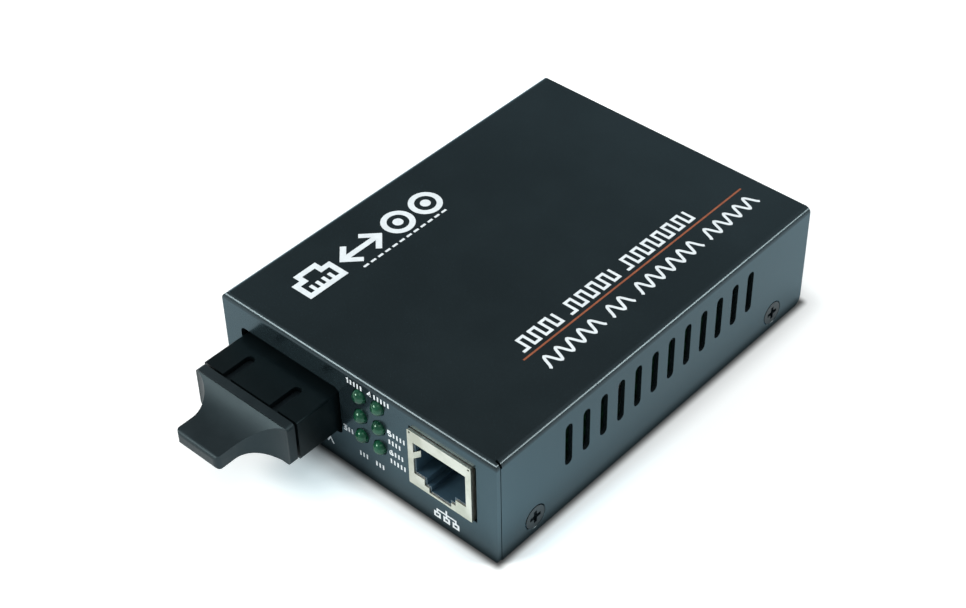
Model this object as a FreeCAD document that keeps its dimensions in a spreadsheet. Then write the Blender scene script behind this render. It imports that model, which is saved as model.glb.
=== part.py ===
import FreeCAD, Part
import math
import os
import types

import Sketcher
from FreeCAD import Vector

# A desk-top fibre media converter, in millimetres. The origin is the centre of the case's underside, +Z is
# up and the front panel faces -Y. The case is two folded sheets round one circuit board. The widths across
# the front add up to the case's width, and the heights inside it add up to the case's height.

SIZES = {
    # Sheet metal of the case
    "sheet_thickness": 1.0,
    "inside_bend": 0.3,
    "fold_seam": 0.18,
    "corner_relief": 0.5,
    "tray_gap": 0.25,
    "rear_corner_round": 2.0,
    "front_corner_round": 0.5,
    # Bays across the front, from the left side to the right side
    "left_bay": 4.9,
    "module_width": 25.2,
    "lamp_bay": 19.0,
    "socket_width": 15.4,
    "right_bay": 5.5,
    # Heights, from the tray up
    "standoff_height": 5.0,
    "board_thickness": 1.6,
    "headroom": 2.7,
    # Circuit board
    "board_length": 91.0,
    "board_end_gap": 0.5,
    "board_side_gap": 0.4,
    "board_hole_gap": 0.15,
    "board_hole_side_inset": 4.2,
    "board_hole_spacing": 6.5,
    "board_hole_setback": 12.8,
    # Cooling slots in the sides
    "slot_count": 12,
    "slot_pitch": 5.0,
    "slot_width": 2.0,
    "slot_height": 10.2,
    "slot_drop": 9.3,
    "slot_end_sides": 6,
    # Screws
    "screw_radius": 1.5,
    "thread_clearance": 0.05,
    "sink_head_rim": 1.0,
    "sink_clearance": 0.3,
    "pan_head_radius": 2.7,
    "pan_head_height": 1.9,
    "recess_width": 0.85,
    "recess_length": 2.9,
    "recess_depth": 0.7,
    "case_screw_length": 5.0,
    "case_screw_inset": 10.3,
    "case_screw_drop": 2.0,
    "board_screw_grip": 3.2,
    "standoff_radius": 2.9,
    "tab_length": 9.0,
    "tab_margin": 3.4,
    "tab_relief": 1.2,
    # Optical module with its duplex receptacle
    "module_length": 39.1,
    "module_height": 9.4,
    "module_reach": 9.9,
    "module_edge_round": 0.4,
    "port_side_wall": 1.75,
    "port_web": 3.7,
    "port_roof": 1.0,
    "port_depth": 14.0,
    "key_width": 2.1,
    "key_length": 6.9,
    "module_wall": 1.0,
    "module_bulkhead": 2.5,
    "barrel_radius": 2.3,
    "barrel_front_inset": 3.2,
    "barrel_collar_rim": 0.4,
    "barrel_collar_length": 2.0,
    "sleeve_radius": 1.62,
    "sleeve_bore_radius": 1.25,
    "sleeve_gap": 0.06,
    "sleeve_length": 9.6,
    "sleeve_slit": 0.35,
    "barrel_clearance": 0.05,
    "can_radius": 2.3,
    "can_base_radius": 2.8,
    "can_base_thickness": 1.2,
    "can_length": 3.6,
    "base_thickness": 0.8,
    "base_gap": 0.05,
    "module_board_thickness": 1.0,
    "module_board_gap": 2.7,
    "module_pin_inset": 1.44,
    "module_pin_count": 9,
    "module_pin_width": 0.6,
    # Panel opening round the module
    "module_gap_left": 0.35,
    "module_gap_right": 1.0,
    "module_gap_top": 2.0,
    "module_gap_below": 0.4,
    "module_opening_round": 1.2,
    # Dust plug
    "plug_gap": 0.5,
    "flange_inset": 0.2,
    "flange_overhang": 0.1,
    "flange_thickness": 1.9,
    "flange_round": 0.9,
    "stub_gap": 0.3,
    "stub_length": 8.6,
    "stub_floor": 1.5,
    "stub_bore_gap": 0.4,
    "grip_length": 11.6,
    "grip_side_rim": 0.4,
    "grip_top_rim": 0.3,
    "grip_end_width": 11.3,
    "grip_end_height": 3.3,
    "grip_waist_length": 7.4,
    "grip_corner_round": 1.2,
    "grip_end_round": 0.9,
    # Lamps
    "lamp_columns": 2,
    "lamp_rows": 3,
    "lamp_column_pitch": 4.6,
    "lamp_row_pitch": 5.05,
    "lamp_side_gap": 6.5,
    "lamp_headroom": 1.1,
    "lamp_radius": 1.5,
    "lamp_reach": 1.4,
    "lamp_rim": 0.35,
    "lamp_rim_length": 0.9,
    "lamp_hole_gap": 0.15,
    "lamp_holder_gap": 0.05,
    "lamp_holder_wall": 0.6,
    "lamp_holder_depth": 3.4,
    "lamp_panel_gap": 0.6,
    "lead_width": 0.5,
    "lead_pitch": 1.27,
    "lead_step": 1.3,
    # Network socket
    "socket_length": 21.5,
    "socket_reach": 0.7,
    "socket_gap_right": 0.65,
    "socket_gap": 0.2,
    "shield_thickness": 0.3,
    "shield_notch": 0.4,
    "shield_notch_inset": 0.35,
    "socket_mouth_width": 12.7,
    "socket_mouth_drop": 2.7,
    "socket_mouth_height": 7.9,
    "socket_step_width": 7.6,
    "socket_step_height": 1.5,
    "socket_latch_width": 5.4,
    "socket_latch_height": 1.1,
    "socket_lip": 0.5,
    "socket_cavity_inset": 0.35,
    "socket_cavity_depth": 13.5,
    "insert_gap": 0.03,
    "contact_count": 8,
    "contact_pitch": 1.02,
    "contact_width": 0.4,
    "contact_thickness": 0.3,
    "contact_rear_gap": 2.3,
    "contact_fall": 2.9,
    "contact_front_inset": 2.2,
    "spring_height": 1.6,
    "spring_drop": 2.5,
    "spring_reach": 0.75,
    "spring_length": 1.2,
    "spring_gap": 0.2,
    # Power inlet
    "inlet_width": 9.0,
    "inlet_length": 14.2,
    "inlet_height": 11.0,
    "inlet_spacing": 10.0,
    "inlet_bore_radius": 3.2,
    "inlet_bore_depth": 9.6,
    "inlet_bore_drop": 4.6,
    "inlet_collar_wall": 0.8,
    "inlet_plate_length": 3.3,
    "inlet_panel_gap": 0.3,
    "inlet_hole_gap": 0.2,
    "inlet_pin_radius": 1.05,
    "inlet_pin_inset": 0.9,
    "inlet_spring_width": 3.0,
    "inlet_spring_thickness": 0.4,
    # Parts on the circuit board
    "part_spacing": 3.0,
    "transformer_length": 12.6,
    "transformer_width": 15.6,
    "transformer_height": 5.8,
    "transformer_shift": 5.0,
    "chip_side": 14.0,
    "chip_height": 1.4,
    "line_chip_side": 9.0,
    "line_chip_height": 0.9,
    "line_chip_shift": 17.0,
    "crystal_length": 11.0,
    "crystal_width": 4.6,
    "crystal_height": 3.5,
    "inductor_side": 10.0,
    "inductor_height": 4.8,
    "regulator_width": 6.5,
    "regulator_length": 6.2,
    "regulator_height": 1.7,
    "regulator_shift": 13.0,
    "capacitor_radius": 4.0,
    "capacitor_height": 11.5,
    "capacitor_pitch": 12.0,
    "capacitor_count": 2,
    "capacitor_shift": 20.0,
    "capacitor_rear_inset": 12.0,
    "part_edge_cut": 0.5,
}

doc = FreeCAD.newDocument("media_converter")
sheet = doc.addObject("Spreadsheet::Sheet", "sizes")


class Length:
    """A value together with the formula over the sheet's cells that gives it."""

    def __init__(self, value, formula):
        self.value = value
        self.formula = formula

    def __add__(self, other):
        other = as_length(other)
        return Length(self.value + other.value, f"({self.formula} + {other.formula})")

    def __radd__(self, other):
        return as_length(other) + self

    def __sub__(self, other):
        other = as_length(other)
        return Length(self.value - other.value, f"({self.formula} - {other.formula})")

    def __rsub__(self, other):
        return as_length(other) - self

    def __mul__(self, other):
        other = as_length(other)
        return Length(self.value * other.value, f"({self.formula} * {other.formula})")

    def __rmul__(self, other):
        return as_length(other) * self

    def __truediv__(self, other):
        other = as_length(other)
        return Length(self.value / other.value, f"({self.formula} / {other.formula})")

    def __neg__(self):
        return Length(-self.value, f"(0 - {self.formula})")


def as_length(number):
    """A plain number as a Length; a Length stays as it is."""
    return number if isinstance(number, Length) else Length(number, f"{number:g}")


size = types.SimpleNamespace()


def add_cell(name, content, value):
    """Give the sheet one more named cell, and size an attribute of the same name."""
    row = len(vars(size)) + 1
    sheet.set(f"A{row}", name)
    sheet.set(f"B{row}", content)
    sheet.setAlias(f"B{row}", name)
    setattr(size, name, Length(value, f"sizes.{name}"))


def derive(name, length):
    """A size that follows from others, as a formula cell of the sheet."""
    add_cell(name, "=" + length.formula.replace("sizes.", ""), length.value)


for size_name, size_value in SIZES.items():
    add_cell(size_name, str(size_value), size_value)

derive("outside_bend", size.inside_bend + size.sheet_thickness)
derive(
    "case_width",
    size.left_bay + size.module_width + size.lamp_bay + size.socket_width + size.right_bay,
)
derive("case_length", size.board_length + 2 * (size.board_end_gap + size.sheet_thickness))
derive("board_top", size.sheet_thickness + size.standoff_height + size.board_thickness)
derive("mouth_floor", size.board_top + size.socket_lip + size.socket_latch_height + size.socket_step_height)
derive("mouth_top", size.mouth_floor + size.socket_mouth_height)
derive("socket_top", size.mouth_top + size.socket_mouth_drop)
derive("case_height", size.socket_top + size.headroom + size.sheet_thickness)
derive("half_width", size.case_width / 2)
derive("half_length", size.case_length / 2)
derive("tray_half_width", size.half_width - size.sheet_thickness - size.tray_gap)
derive("board_half_width", size.tray_half_width - size.sheet_thickness - size.board_side_gap)
derive("board_front", -size.board_length / 2)
derive("board_rear", size.board_length / 2)
derive("board_hole_x", size.board_half_width - size.board_hole_side_inset)
derive("case_screw_y", size.half_length - size.case_screw_inset)
derive("sink_head_radius", size.screw_radius + size.sink_head_rim)
derive("case_screw_z", size.board_top - size.board_thickness - size.case_screw_drop)
derive("module_x", size.left_bay + size.module_width / 2 - size.half_width)
derive("module_front", -size.half_length - size.module_reach)
derive("module_rear", size.module_front + size.module_length)
derive("module_top", size.board_top + size.module_height)
derive("port_width", (size.module_width - 2 * size.port_side_wall - size.port_web) / 2)
derive("port_height", size.module_height - 2 * size.port_roof)
derive("port_pitch", size.port_width + size.port_web)
derive("port_z", size.board_top + size.module_height / 2)
derive("port_floor", size.module_front + size.port_depth)
derive("cavity_front", size.port_floor + size.module_bulkhead)
derive("socket_x", size.half_width - size.right_bay - size.socket_width / 2)
derive("socket_front", -size.half_length - size.socket_reach)
derive("socket_rear", size.socket_front + size.socket_length)
derive("first_lamp_x", size.left_bay + size.module_width + size.lamp_side_gap - size.half_width)
derive("lamp_bore_radius", size.lamp_radius + size.lamp_holder_gap)
derive("holder_top", size.case_height - size.sheet_thickness - size.lamp_headroom)
derive("lamp_z", size.holder_top - size.lamp_holder_wall - size.lamp_bore_radius)
derive("flange_width", size.module_width - 2 * size.flange_inset)
derive("flange_height", size.module_height + 2 * size.flange_overhang)
derive("plug_front", size.module_front - size.plug_gap - size.flange_thickness)
derive("inlet_x", size.inlet_spacing - size.board_hole_x)
derive("inlet_collar_radius", size.inlet_bore_radius + size.inlet_collar_wall)
derive("inlet_z", size.board_top + size.inlet_height - size.inlet_bore_drop)
derive("inlet_face", size.half_length - size.sheet_thickness - size.inlet_panel_gap)
derive("inlet_front", size.inlet_face - size.inlet_length)
doc.recompute()


def bind(item, **lengths):
    """Tie properties of a document object to the sheet."""
    for name, length in lengths.items():
        item.setExpression(name, as_length(length).formula)


def place(item, x=0, y=0, z=0):
    """Tie an object's position to the sheet."""
    for axis, length in zip("xyz", (x, y, z)):
        item.setExpression(f"Placement.Base.{axis}", as_length(length).formula)


def turn(item, axis, angle):
    """Turn an object about an axis through its own origin, in degrees."""
    item.Placement = FreeCAD.Placement(item.Placement.Base, FreeCAD.Rotation(axis, angle))


# Sketches and part design features


def new_body(name):
    body = doc.addObject("PartDesign::Body", name)
    body.Label = name
    return body


def origin_feature(body, role):
    return next(item for item in body.Origin.OriginFeatures if item.Role == role)


def new_sketch(body, name, plane, distance=0):
    """A sketch on an origin plane, moved along the plane's normal (+Z, -Y or +X) by a distance."""
    sketch = body.newObject("Sketcher::SketchObject", name)
    sketch.AttachmentSupport = [(origin_feature(body, plane + "_Plane"), "")]
    sketch.MapMode = "FlatFace"
    sketch.setExpression("AttachmentOffset.Base.z", as_length(distance).formula)
    return sketch


def hold_point(sketch, geometry, vertex, x, y):
    """Dimension one point of a sketch from its origin."""
    for kind, length in (("DistanceX", as_length(x)), ("DistanceY", as_length(y))):
        index = sketch.addConstraint(Sketcher.Constraint(kind, -1, 1, geometry, vertex, length.value))
        sketch.setExpression(f"Constraints[{index}]", length.formula)


def outline(sketch, corners, arcs=None):
    """A closed outline through corners given as pairs of lengths. Its edges are straight, apart from those
    whose number is a key of arcs, which gives the arc's radius and centre."""
    arcs = arcs or {}
    points = [Vector(as_length(x).value, as_length(y).value, 0) for x, y in corners]
    ends = []
    for index, start in enumerate(points):
        finish = points[(index + 1) % len(points)]
        if index in arcs:
            radius, centre = arcs[index]
            middle = arc_middle(Vector(centre[0].value, centre[1].value, 0), radius.value, start, finish)
            edge = sketch.addGeometry(Part.Arc(start, middle, finish), False)
            rule = sketch.addConstraint(Sketcher.Constraint("Radius", edge, radius.value))
            sketch.setExpression(f"Constraints[{rule}]", radius.formula)
        else:
            edge = sketch.addGeometry(Part.LineSegment(start, finish), False)
        forward = (sketch.getPoint(edge, 1) - start).Length < (sketch.getPoint(edge, 2) - start).Length
        ends.append((edge, 1, 2) if forward else (edge, 2, 1))
    for index, (edge, start, finish) in enumerate(ends):
        following = ends[(index + 1) % len(ends)]
        sketch.addConstraint(Sketcher.Constraint("Coincident", edge, finish, following[0], following[1]))
    for (edge, start, finish), (x, y) in zip(ends, corners):
        hold_point(sketch, edge, start, x, y)


def arc_middle(centre, radius, start, finish):
    """The point of a circle half way between two of its points, on the shorter side."""
    chord = (start + finish) / 2 - centre
    return centre + chord.normalize() * radius


def rectangle(sketch, left, right, bottom, top):
    outline(sketch, [(left, bottom), (right, bottom), (right, top), (left, top)])


def circle(sketch, x, y, radius):
    radius = as_length(radius)
    centre = Vector(as_length(x).value, as_length(y).value, 0)
    index = sketch.addGeometry(Part.Circle(centre, Vector(0, 0, 1), radius.value), False)
    hold_point(sketch, index, 3, x, y)
    rule = sketch.addConstraint(Sketcher.Constraint("Radius", index, radius.value))
    sketch.setExpression(f"Constraints[{rule}]", radius.formula)


def upright_slot(sketch, x, bottom, top, width):
    """A slot along the sketch's vertical axis. Each round end is a chain of short straight sides."""
    half = as_length(width) / 2
    sides = SIZES["slot_end_sides"]
    ways = [Vector(math.cos(turn), math.sin(turn), 0) for turn in end_turns(sides)]
    upper = [(x + half * way.x, top - half + half * way.y) for way in ways]
    lower = [(x - half * way.x, bottom + half - half * way.y) for way in ways]
    outline(sketch, upper + lower)


def end_turns(sides):
    """The angles of a half circle's corners, in radians."""
    return [math.pi * side / sides for side in range(sides + 1)]


def pad(body, name, sketch, length, back=False):
    """Extrude a sketch along its normal, or against it."""
    feature = body.newObject("PartDesign::Pad", name)
    feature.Profile = sketch
    feature.Reversed = back
    bind(feature, Length=length)
    return recomputed(feature)


def pocket(body, name, sketch, depth, along=False, taper=0):
    """Cut a sketch into a body against its normal, or along it. The cut has to take material away."""
    before = body.Shape.Volume
    feature = body.newObject("PartDesign::Pocket", name)
    feature.Profile = sketch
    feature.Reversed = along
    feature.TaperAngle = taper
    bind(feature, Length=depth)
    recomputed(feature)
    if body.Shape.Volume >= before:
        raise RuntimeError(f"{name} cuts nothing")
    return feature


def recomputed(feature):
    doc.recompute()
    if feature.Shape.isNull() or "Invalid" in feature.State:
        raise RuntimeError(f"{feature.Name} failed")
    return feature


def edges_at(shape, points):
    """Names of the edges that pass through the given points."""
    names = []
    for point in points:
        spot = Part.Vertex(Vector(*(as_length(part).value for part in point)))
        distances = [edge.distToShape(spot)[0] for edge in shape.Edges]
        names.append(f"Edge{distances.index(min(distances)) + 1}")
    return names


def fillet(body, name, base, points, radius, kind="PartDesign::Fillet"):
    """Round the edges of a body that pass through the given points."""
    feature = body.newObject(kind, name)
    feature.Base = (base, edges_at(base.Shape, points))
    bind(feature, **{"Radius" if kind.endswith("Fillet") else "Size": radius})
    return recomputed(feature)


def chamfer(body, name, base, points, amount):
    return fillet(body, name, base, points, amount, "PartDesign::Chamfer")


# Primitives


def box(name, x, y, z):
    """A box from three pairs of lengths, the low and the high face on each axis."""
    item = doc.addObject("Part::Box", name)
    bind(item, Length=x[1] - as_length(x[0]), Width=y[1] - as_length(y[0]), Height=z[1] - as_length(z[0]))
    place(item, x[0], y[0], z[0])
    return item


TURNS = {
    "+x": (Vector(0, 1, 0), 90),
    "-x": (Vector(0, 1, 0), -90),
    "+y": (Vector(1, 0, 0), -90),
    "-y": (Vector(1, 0, 0), 90),
    "+z": (Vector(0, 0, 1), 0),
    "-z": (Vector(1, 0, 0), 180),
}


def cylinder(name, start, direction, radius, length):
    """A cylinder from a start point, along one of the axes in TURNS."""
    item = doc.addObject("Part::Cylinder", name)
    bind(item, Radius=radius, Height=length)
    turn(item, *TURNS[direction])
    place(item, *start)
    return item


def cone(name, start, direction, first_radius, last_radius, length):
    item = doc.addObject("Part::Cone", name)
    bind(item, Radius1=first_radius, Radius2=last_radius, Height=length)
    turn(item, *TURNS[direction])
    place(item, *start)
    return item


def fuse(name, items):
    item = doc.addObject("Part::MultiFuse", name)
    item.Shapes = items
    item.Refine = True
    return item


def cut(name, base, tools):
    """Take one or more tools away from a base."""
    item = doc.addObject("Part::Cut", name)
    item.Base = base
    item.Tool = tools[0] if len(tools) == 1 else fuse(f"{name}_tools", tools)
    return item


def group(name, items):
    """Like pieces that share one node, each a solid of its own."""
    item = doc.addObject("Part::Compound", name)
    item.Links = items
    return item


def both_sides(length):
    return (-length, length)


# The top cover: top, sides and front flange, folded from one sheet. The front flange covers the sides'
# front edges, and a small relief in each top front corner keeps the folds apart.


def make_top_cover():
    body = new_body("top_cover")
    inner_half = size.half_width - size.sheet_thickness
    inner_front = size.sheet_thickness - size.half_length
    inner_top = size.case_height - size.sheet_thickness

    footprint = new_sketch(body, "cover_footprint", "XY")
    rectangle(footprint, *both_sides(size.half_width), *both_sides(size.half_length))
    block = pad(body, "cover_block", footprint, size.case_height)
    outer_edges = [
        (0, -size.half_length, size.case_height),
        (-size.half_width, 0, size.case_height),
        (size.half_width, 0, size.case_height),
    ]
    fillet(body, "cover_outer_bends", block, outer_edges, size.outside_bend)

    inside = new_sketch(body, "cover_inside", "XY")
    rectangle(inside, *both_sides(inner_half), inner_front, size.half_length + size.sheet_thickness)
    hollow = pocket(body, "cover_hollow", inside, inner_top, along=True)
    inner_edges = [(0, inner_front, inner_top), (-inner_half, 0, inner_top), (inner_half, 0, inner_top)]
    bent = fillet(body, "cover_inner_bends", hollow, inner_edges, size.inside_bend)
    wall = size.half_width - size.sheet_thickness / 2
    corners = [(x * wall, size.half_length, 0) for x in (-1, 1)]
    fillet(body, "cover_rear_corners", bent, corners, size.rear_corner_round)

    seams = new_sketch(body, "cover_seams", "YZ", size.half_width)
    bend_foot = size.case_height - size.outside_bend
    rectangle(seams, inner_front, inner_front + size.fold_seam, -size.sheet_thickness, bend_foot)
    pocket(body, "cover_seam_cuts", seams, size.case_width)
    reliefs = new_sketch(body, "cover_reliefs", "XY", size.case_height)
    for side in (-1, 1):
        near = side * (size.half_width - size.outside_bend)
        far = side * (size.half_width + size.sheet_thickness)
        rectangle(reliefs, near, far, inner_front, inner_front + size.corner_relief)
    parted = pocket(body, "cover_relief_cuts", reliefs, size.outside_bend)
    corners = [(x * size.half_width, inner_front - size.sheet_thickness / 2, 0) for x in (-1, 1)]
    fillet(body, "cover_front_corners", parted, corners, size.front_corner_round)

    slot = new_sketch(body, "cover_slot", "YZ", size.half_width)
    slot_top = size.case_height - size.slot_drop + size.slot_height / 2
    first_slot = -size.slot_pitch * (size.slot_count - 1) / 2
    upright_slot(slot, first_slot, slot_top - size.slot_height, slot_top, size.slot_width)
    slot_cut = pocket(body, "cover_slot_cut", slot, size.case_width)
    row = body.newObject("PartDesign::LinearPattern", "cover_slot_row")
    row.Originals = [slot_cut]
    row.Direction = (slot, ["H_Axis"])
    bind(row, Length=size.slot_pitch * (size.slot_count - 1), Occurrences=size.slot_count)
    body.Tip = row
    recomputed(row)

    holes = new_sketch(body, "cover_screw_holes", "YZ", size.half_width)
    sinks = new_sketch(body, "cover_screw_sinks", "YZ", size.half_width)
    sink_radius = size.sink_head_radius + size.sink_clearance
    for side in (-1, 1):
        circle(holes, side * size.case_screw_y, size.case_screw_z, sink_radius - size.sheet_thickness)
        circle(sinks, side * size.case_screw_y, size.case_screw_z, sink_radius)
    pocket(body, "cover_screw_hole_cuts", holes, size.case_width)
    sink_cut = pocket(body, "cover_sink_cuts", sinks, size.sheet_thickness, taper=-45)
    mirrored = body.newObject("PartDesign::Mirrored", "cover_sink_mirror")
    mirrored.Originals = [sink_cut]
    mirrored.MirrorPlane = (origin_feature(body, "YZ_Plane"), [""])
    body.Tip = mirrored
    recomputed(mirrored)

    front = new_sketch(body, "cover_front_openings", "XZ", size.half_length)
    module_left = size.module_x - size.module_width / 2 - size.module_gap_left
    module_right = size.module_x + size.module_width / 2 + size.module_gap_right
    module_low = size.board_top - size.module_gap_below
    module_high = size.module_top + size.module_gap_top
    rectangle(front, module_left, module_right, module_low, module_high)
    rectangle(
        front,
        size.socket_x - size.socket_width / 2 - size.socket_gap,
        size.socket_x + size.socket_width / 2 + size.socket_gap_right,
        size.board_top - size.socket_gap,
        size.socket_top + size.socket_gap,
    )
    for x, z in lamp_places():
        circle(front, x, z, size.lamp_radius + size.lamp_hole_gap)
    openings = pocket(body, "cover_front_cuts", front, size.sheet_thickness)
    corners = [
        (x, size.sheet_thickness / 2 - size.half_length, z)
        for x in (module_left, module_right)
        for z in (module_low, module_high)
    ]
    fillet(body, "cover_module_corners", openings, corners, size.module_opening_round)
    return body


def lamp_places():
    """The centres of the lamps on the front panel, column by column from the top down."""
    columns = SIZES["lamp_columns"]
    places = []
    for column in range(columns):
        x = size.first_lamp_x + size.lamp_column_pitch * column
        for row in range(SIZES["lamp_rows"]):
            places.append((x, size.lamp_z - size.lamp_row_pitch * row))
    return places


# The bottom tray: bottom and rear flange, folded from one sheet, with four tabs bent up at its sides that
# take the case screws.


def make_bottom_tray():
    body = new_body("bottom_tray")
    front = size.sheet_thickness + size.tray_gap - size.half_length
    rear = size.half_length - size.sheet_thickness
    top = size.case_height - size.sheet_thickness - size.tray_gap
    profile = new_sketch(body, "tray_profile", "YZ", -size.tray_half_width)
    outline(
        profile,
        [
            (front, 0),
            (size.half_length, 0),
            (size.half_length, top),
            (rear, top),
            (rear, size.sheet_thickness),
            (front, size.sheet_thickness),
        ],
    )
    folded = pad(body, "tray_fold", profile, 2 * size.tray_half_width)
    bent = fillet(body, "tray_outer_bend", folded, [(0, size.half_length, 0)], size.outside_bend)
    fillet(body, "tray_inner_bend", bent, [(0, rear, size.sheet_thickness)], size.inside_bend)

    notches = new_sketch(body, "tray_notches", "XY", size.sheet_thickness)
    tabs = new_sketch(body, "tray_tabs", "XY")
    for side in (-1, 1):
        outer = side * size.tray_half_width
        inner = side * (size.tray_half_width - size.sheet_thickness)
        notch_end = side * (size.tray_half_width - size.outside_bend)
        past = side * size.half_width
        for end in (-1, 1):
            low = end * size.case_screw_y - size.tab_length / 2
            high = end * size.case_screw_y + size.tab_length / 2
            rectangle(notches, notch_end, past, low - size.tab_relief, low)
            rectangle(notches, notch_end, past, high, high + size.tab_relief)
            rectangle(tabs, inner, outer, low, high)
    pocket(body, "tray_notch_cuts", notches, size.sheet_thickness)
    upright = pad(body, "tray_tab_walls", tabs, size.case_screw_z + size.tab_margin)
    places = [(x, y * size.case_screw_y) for x in (-1, 1) for y in (-1, 1)]
    edges = [(x * size.tray_half_width, y, 0) for x, y in places]
    bent = fillet(body, "tray_tab_outer_bends", upright, edges, size.outside_bend)
    inner = size.tray_half_width - size.sheet_thickness
    edges = [(x * inner, y, size.sheet_thickness) for x, y in places]
    fillet(body, "tray_tab_inner_bends", bent, edges, size.inside_bend)

    threads = new_sketch(body, "tray_threads", "YZ", size.tray_half_width)
    for end in (-1, 1):
        radius = size.screw_radius + size.thread_clearance
        circle(threads, end * size.case_screw_y, size.case_screw_z, radius)
    pocket(body, "tray_thread_cuts", threads, 2 * size.tray_half_width)
    inlet = new_sketch(body, "tray_inlet", "XZ", -rear)
    circle(inlet, size.inlet_x, size.inlet_z, size.inlet_collar_radius + size.inlet_hole_gap)
    pocket(body, "tray_inlet_cut", inlet, size.sheet_thickness)
    return body


# The circuit board stands on four hexagonal standoffs and is held by four pan head screws.


def board_hole_places():
    """The four mounting holes, as pairs of x and y."""
    rear = size.case_screw_y - size.board_hole_spacing
    front = size.module_rear + size.board_hole_setback
    return [(x * size.board_hole_x, y) for x in (-1, 1) for y in (rear, front)]


def module_pin_places():
    """The x of each pin in the module's row, from left to right."""
    half = size.module_width / 2 - size.module_wall - size.module_pin_inset
    gaps = size.module_pin_count - 1
    return [size.module_x - half + 2 * half * index / gaps for index in pin_range()]


def make_circuit_board():
    body = new_body("circuit_board")
    footprint = new_sketch(body, "board_footprint", "XY", size.board_top - size.board_thickness)
    rectangle(footprint, *both_sides(size.board_half_width), size.board_front, size.board_rear)
    for x, y in board_hole_places():
        circle(footprint, x, y, size.screw_radius + size.board_hole_gap)
    pad(body, "board_sheet", footprint, size.board_thickness)
    return body


def make_board_standoffs():
    standoffs = []
    for index, (x, y) in enumerate(board_hole_places()):
        post = doc.addObject("Part::Prism", f"standoff_post_{index}")
        post.Polygon = 6
        bind(post, Circumradius=size.standoff_radius, Height=size.standoff_height)
        place(post, x, y, size.sheet_thickness)
        radius = size.screw_radius + size.thread_clearance
        start = (x, y, size.sheet_thickness)
        bore = cylinder(f"standoff_bore_{index}", start, "+z", radius, size.standoff_height)
        standoffs.append(cut(f"standoff_{index}", post, [bore]))
    return group("board_standoffs", standoffs)


def cross_recess(name, start, direction):
    """A cross recess of two crossed bars, as deep into a screw head's face as they stand out of it."""
    bars = []
    for index, across in enumerate(axis for axis in "xyz" if axis != direction):
        spans = []
        for axis, middle in zip("xyz", start):
            if axis == direction:
                half = size.recess_depth
            else:
                half = (size.recess_length if axis == across else size.recess_width) / 2
            spans.append((middle - half, middle + half))
        bars.append(box(f"{name}_{index}", *spans))
    return bars


def make_board_screws():
    screws = []
    for index, (x, y) in enumerate(board_hole_places()):
        seat = (x, y, size.board_top)
        head = cylinder(f"board_screw_head_{index}", seat, "+z", size.pan_head_radius, size.pan_head_height)
        length = size.board_thickness + size.board_screw_grip
        shank = cylinder(f"board_screw_shank_{index}", seat, "-z", size.screw_radius, length)
        whole = fuse(f"board_screw_body_{index}", [head, shank])
        top = (x, y, size.board_top + size.pan_head_height)
        screws.append(cut(f"board_screw_{index}", whole, cross_recess(f"board_recess_{index}", top, "z")))
    return group("board_screws", screws)


def make_case_screws():
    screws = []
    for index, (side, end) in enumerate((side, end) for side in (-1, 1) for end in (-1, 1)):
        direction = "-x" if side > 0 else "+x"
        face = (side * size.half_width, end * size.case_screw_y, size.case_screw_z)
        radius = size.sink_head_radius
        head = cone(
            f"case_screw_head_{index}", face, direction, radius, size.screw_radius, size.sink_head_rim
        )
        shank = cylinder(
            f"case_screw_shank_{index}", face, direction, size.screw_radius, size.case_screw_length
        )
        whole = fuse(f"case_screw_body_{index}", [head, shank])
        recess = cross_recess(f"case_recess_{index}", face, "x")
        screws.append(cut(f"case_screw_{index}", whole, recess))
    return group("case_screws", screws)


# The optical module: a moulded housing with two ports in its nose and a cavity behind them that is open
# below, where the base with its row of pins closes it. A keyway in the roof of each port starts at its
# mouth and ends in a half round.


def port_places():
    """The x of the two port centres."""
    return [size.module_x + side * size.port_pitch / 2 for side in (-1, 1)]


def make_transceiver_housing():
    body = new_body("transceiver_housing")
    half = size.module_width / 2
    left = size.module_x - half
    right = size.module_x + half
    section = new_sketch(body, "module_section", "XZ", -size.module_rear)
    rectangle(section, left, right, size.board_top, size.module_top)
    block = pad(body, "module_block", section, size.module_length)
    middle = (size.module_front + size.module_rear) / 2
    edges = [(x, middle, z) for x in (left, right) for z in (size.board_top, size.module_top)]
    fillet(body, "module_edges", block, edges, size.module_edge_round)

    ports = new_sketch(body, "module_ports", "XZ", -size.module_front)
    bores = new_sketch(body, "module_bores", "XZ", -size.port_floor)
    for x in port_places():
        rectangle(
            ports,
            x - size.port_width / 2,
            x + size.port_width / 2,
            size.port_z - size.port_height / 2,
            size.port_z + size.port_height / 2,
        )
        circle(bores, x, size.port_z, size.barrel_radius + size.barrel_clearance)
    pocket(body, "module_port_cuts", ports, size.port_depth)
    pocket(body, "module_bore_cuts", bores, size.module_bulkhead)

    keys = new_sketch(body, "module_keys", "XY", size.module_top)
    for x in port_places():
        end = size.module_front + size.key_length
        upright_slot(keys, x, size.module_front - size.key_width, end, size.key_width)
    pocket(body, "module_key_cuts", keys, size.port_roof)

    cavity = new_sketch(body, "module_cavity", "XY", size.board_top)
    rectangle(
        cavity,
        left + size.module_wall,
        right - size.module_wall,
        size.cavity_front,
        size.module_rear - size.module_wall,
    )
    pocket(body, "module_cavity_cut", cavity, size.module_height - size.module_wall, along=True)
    return body


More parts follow.
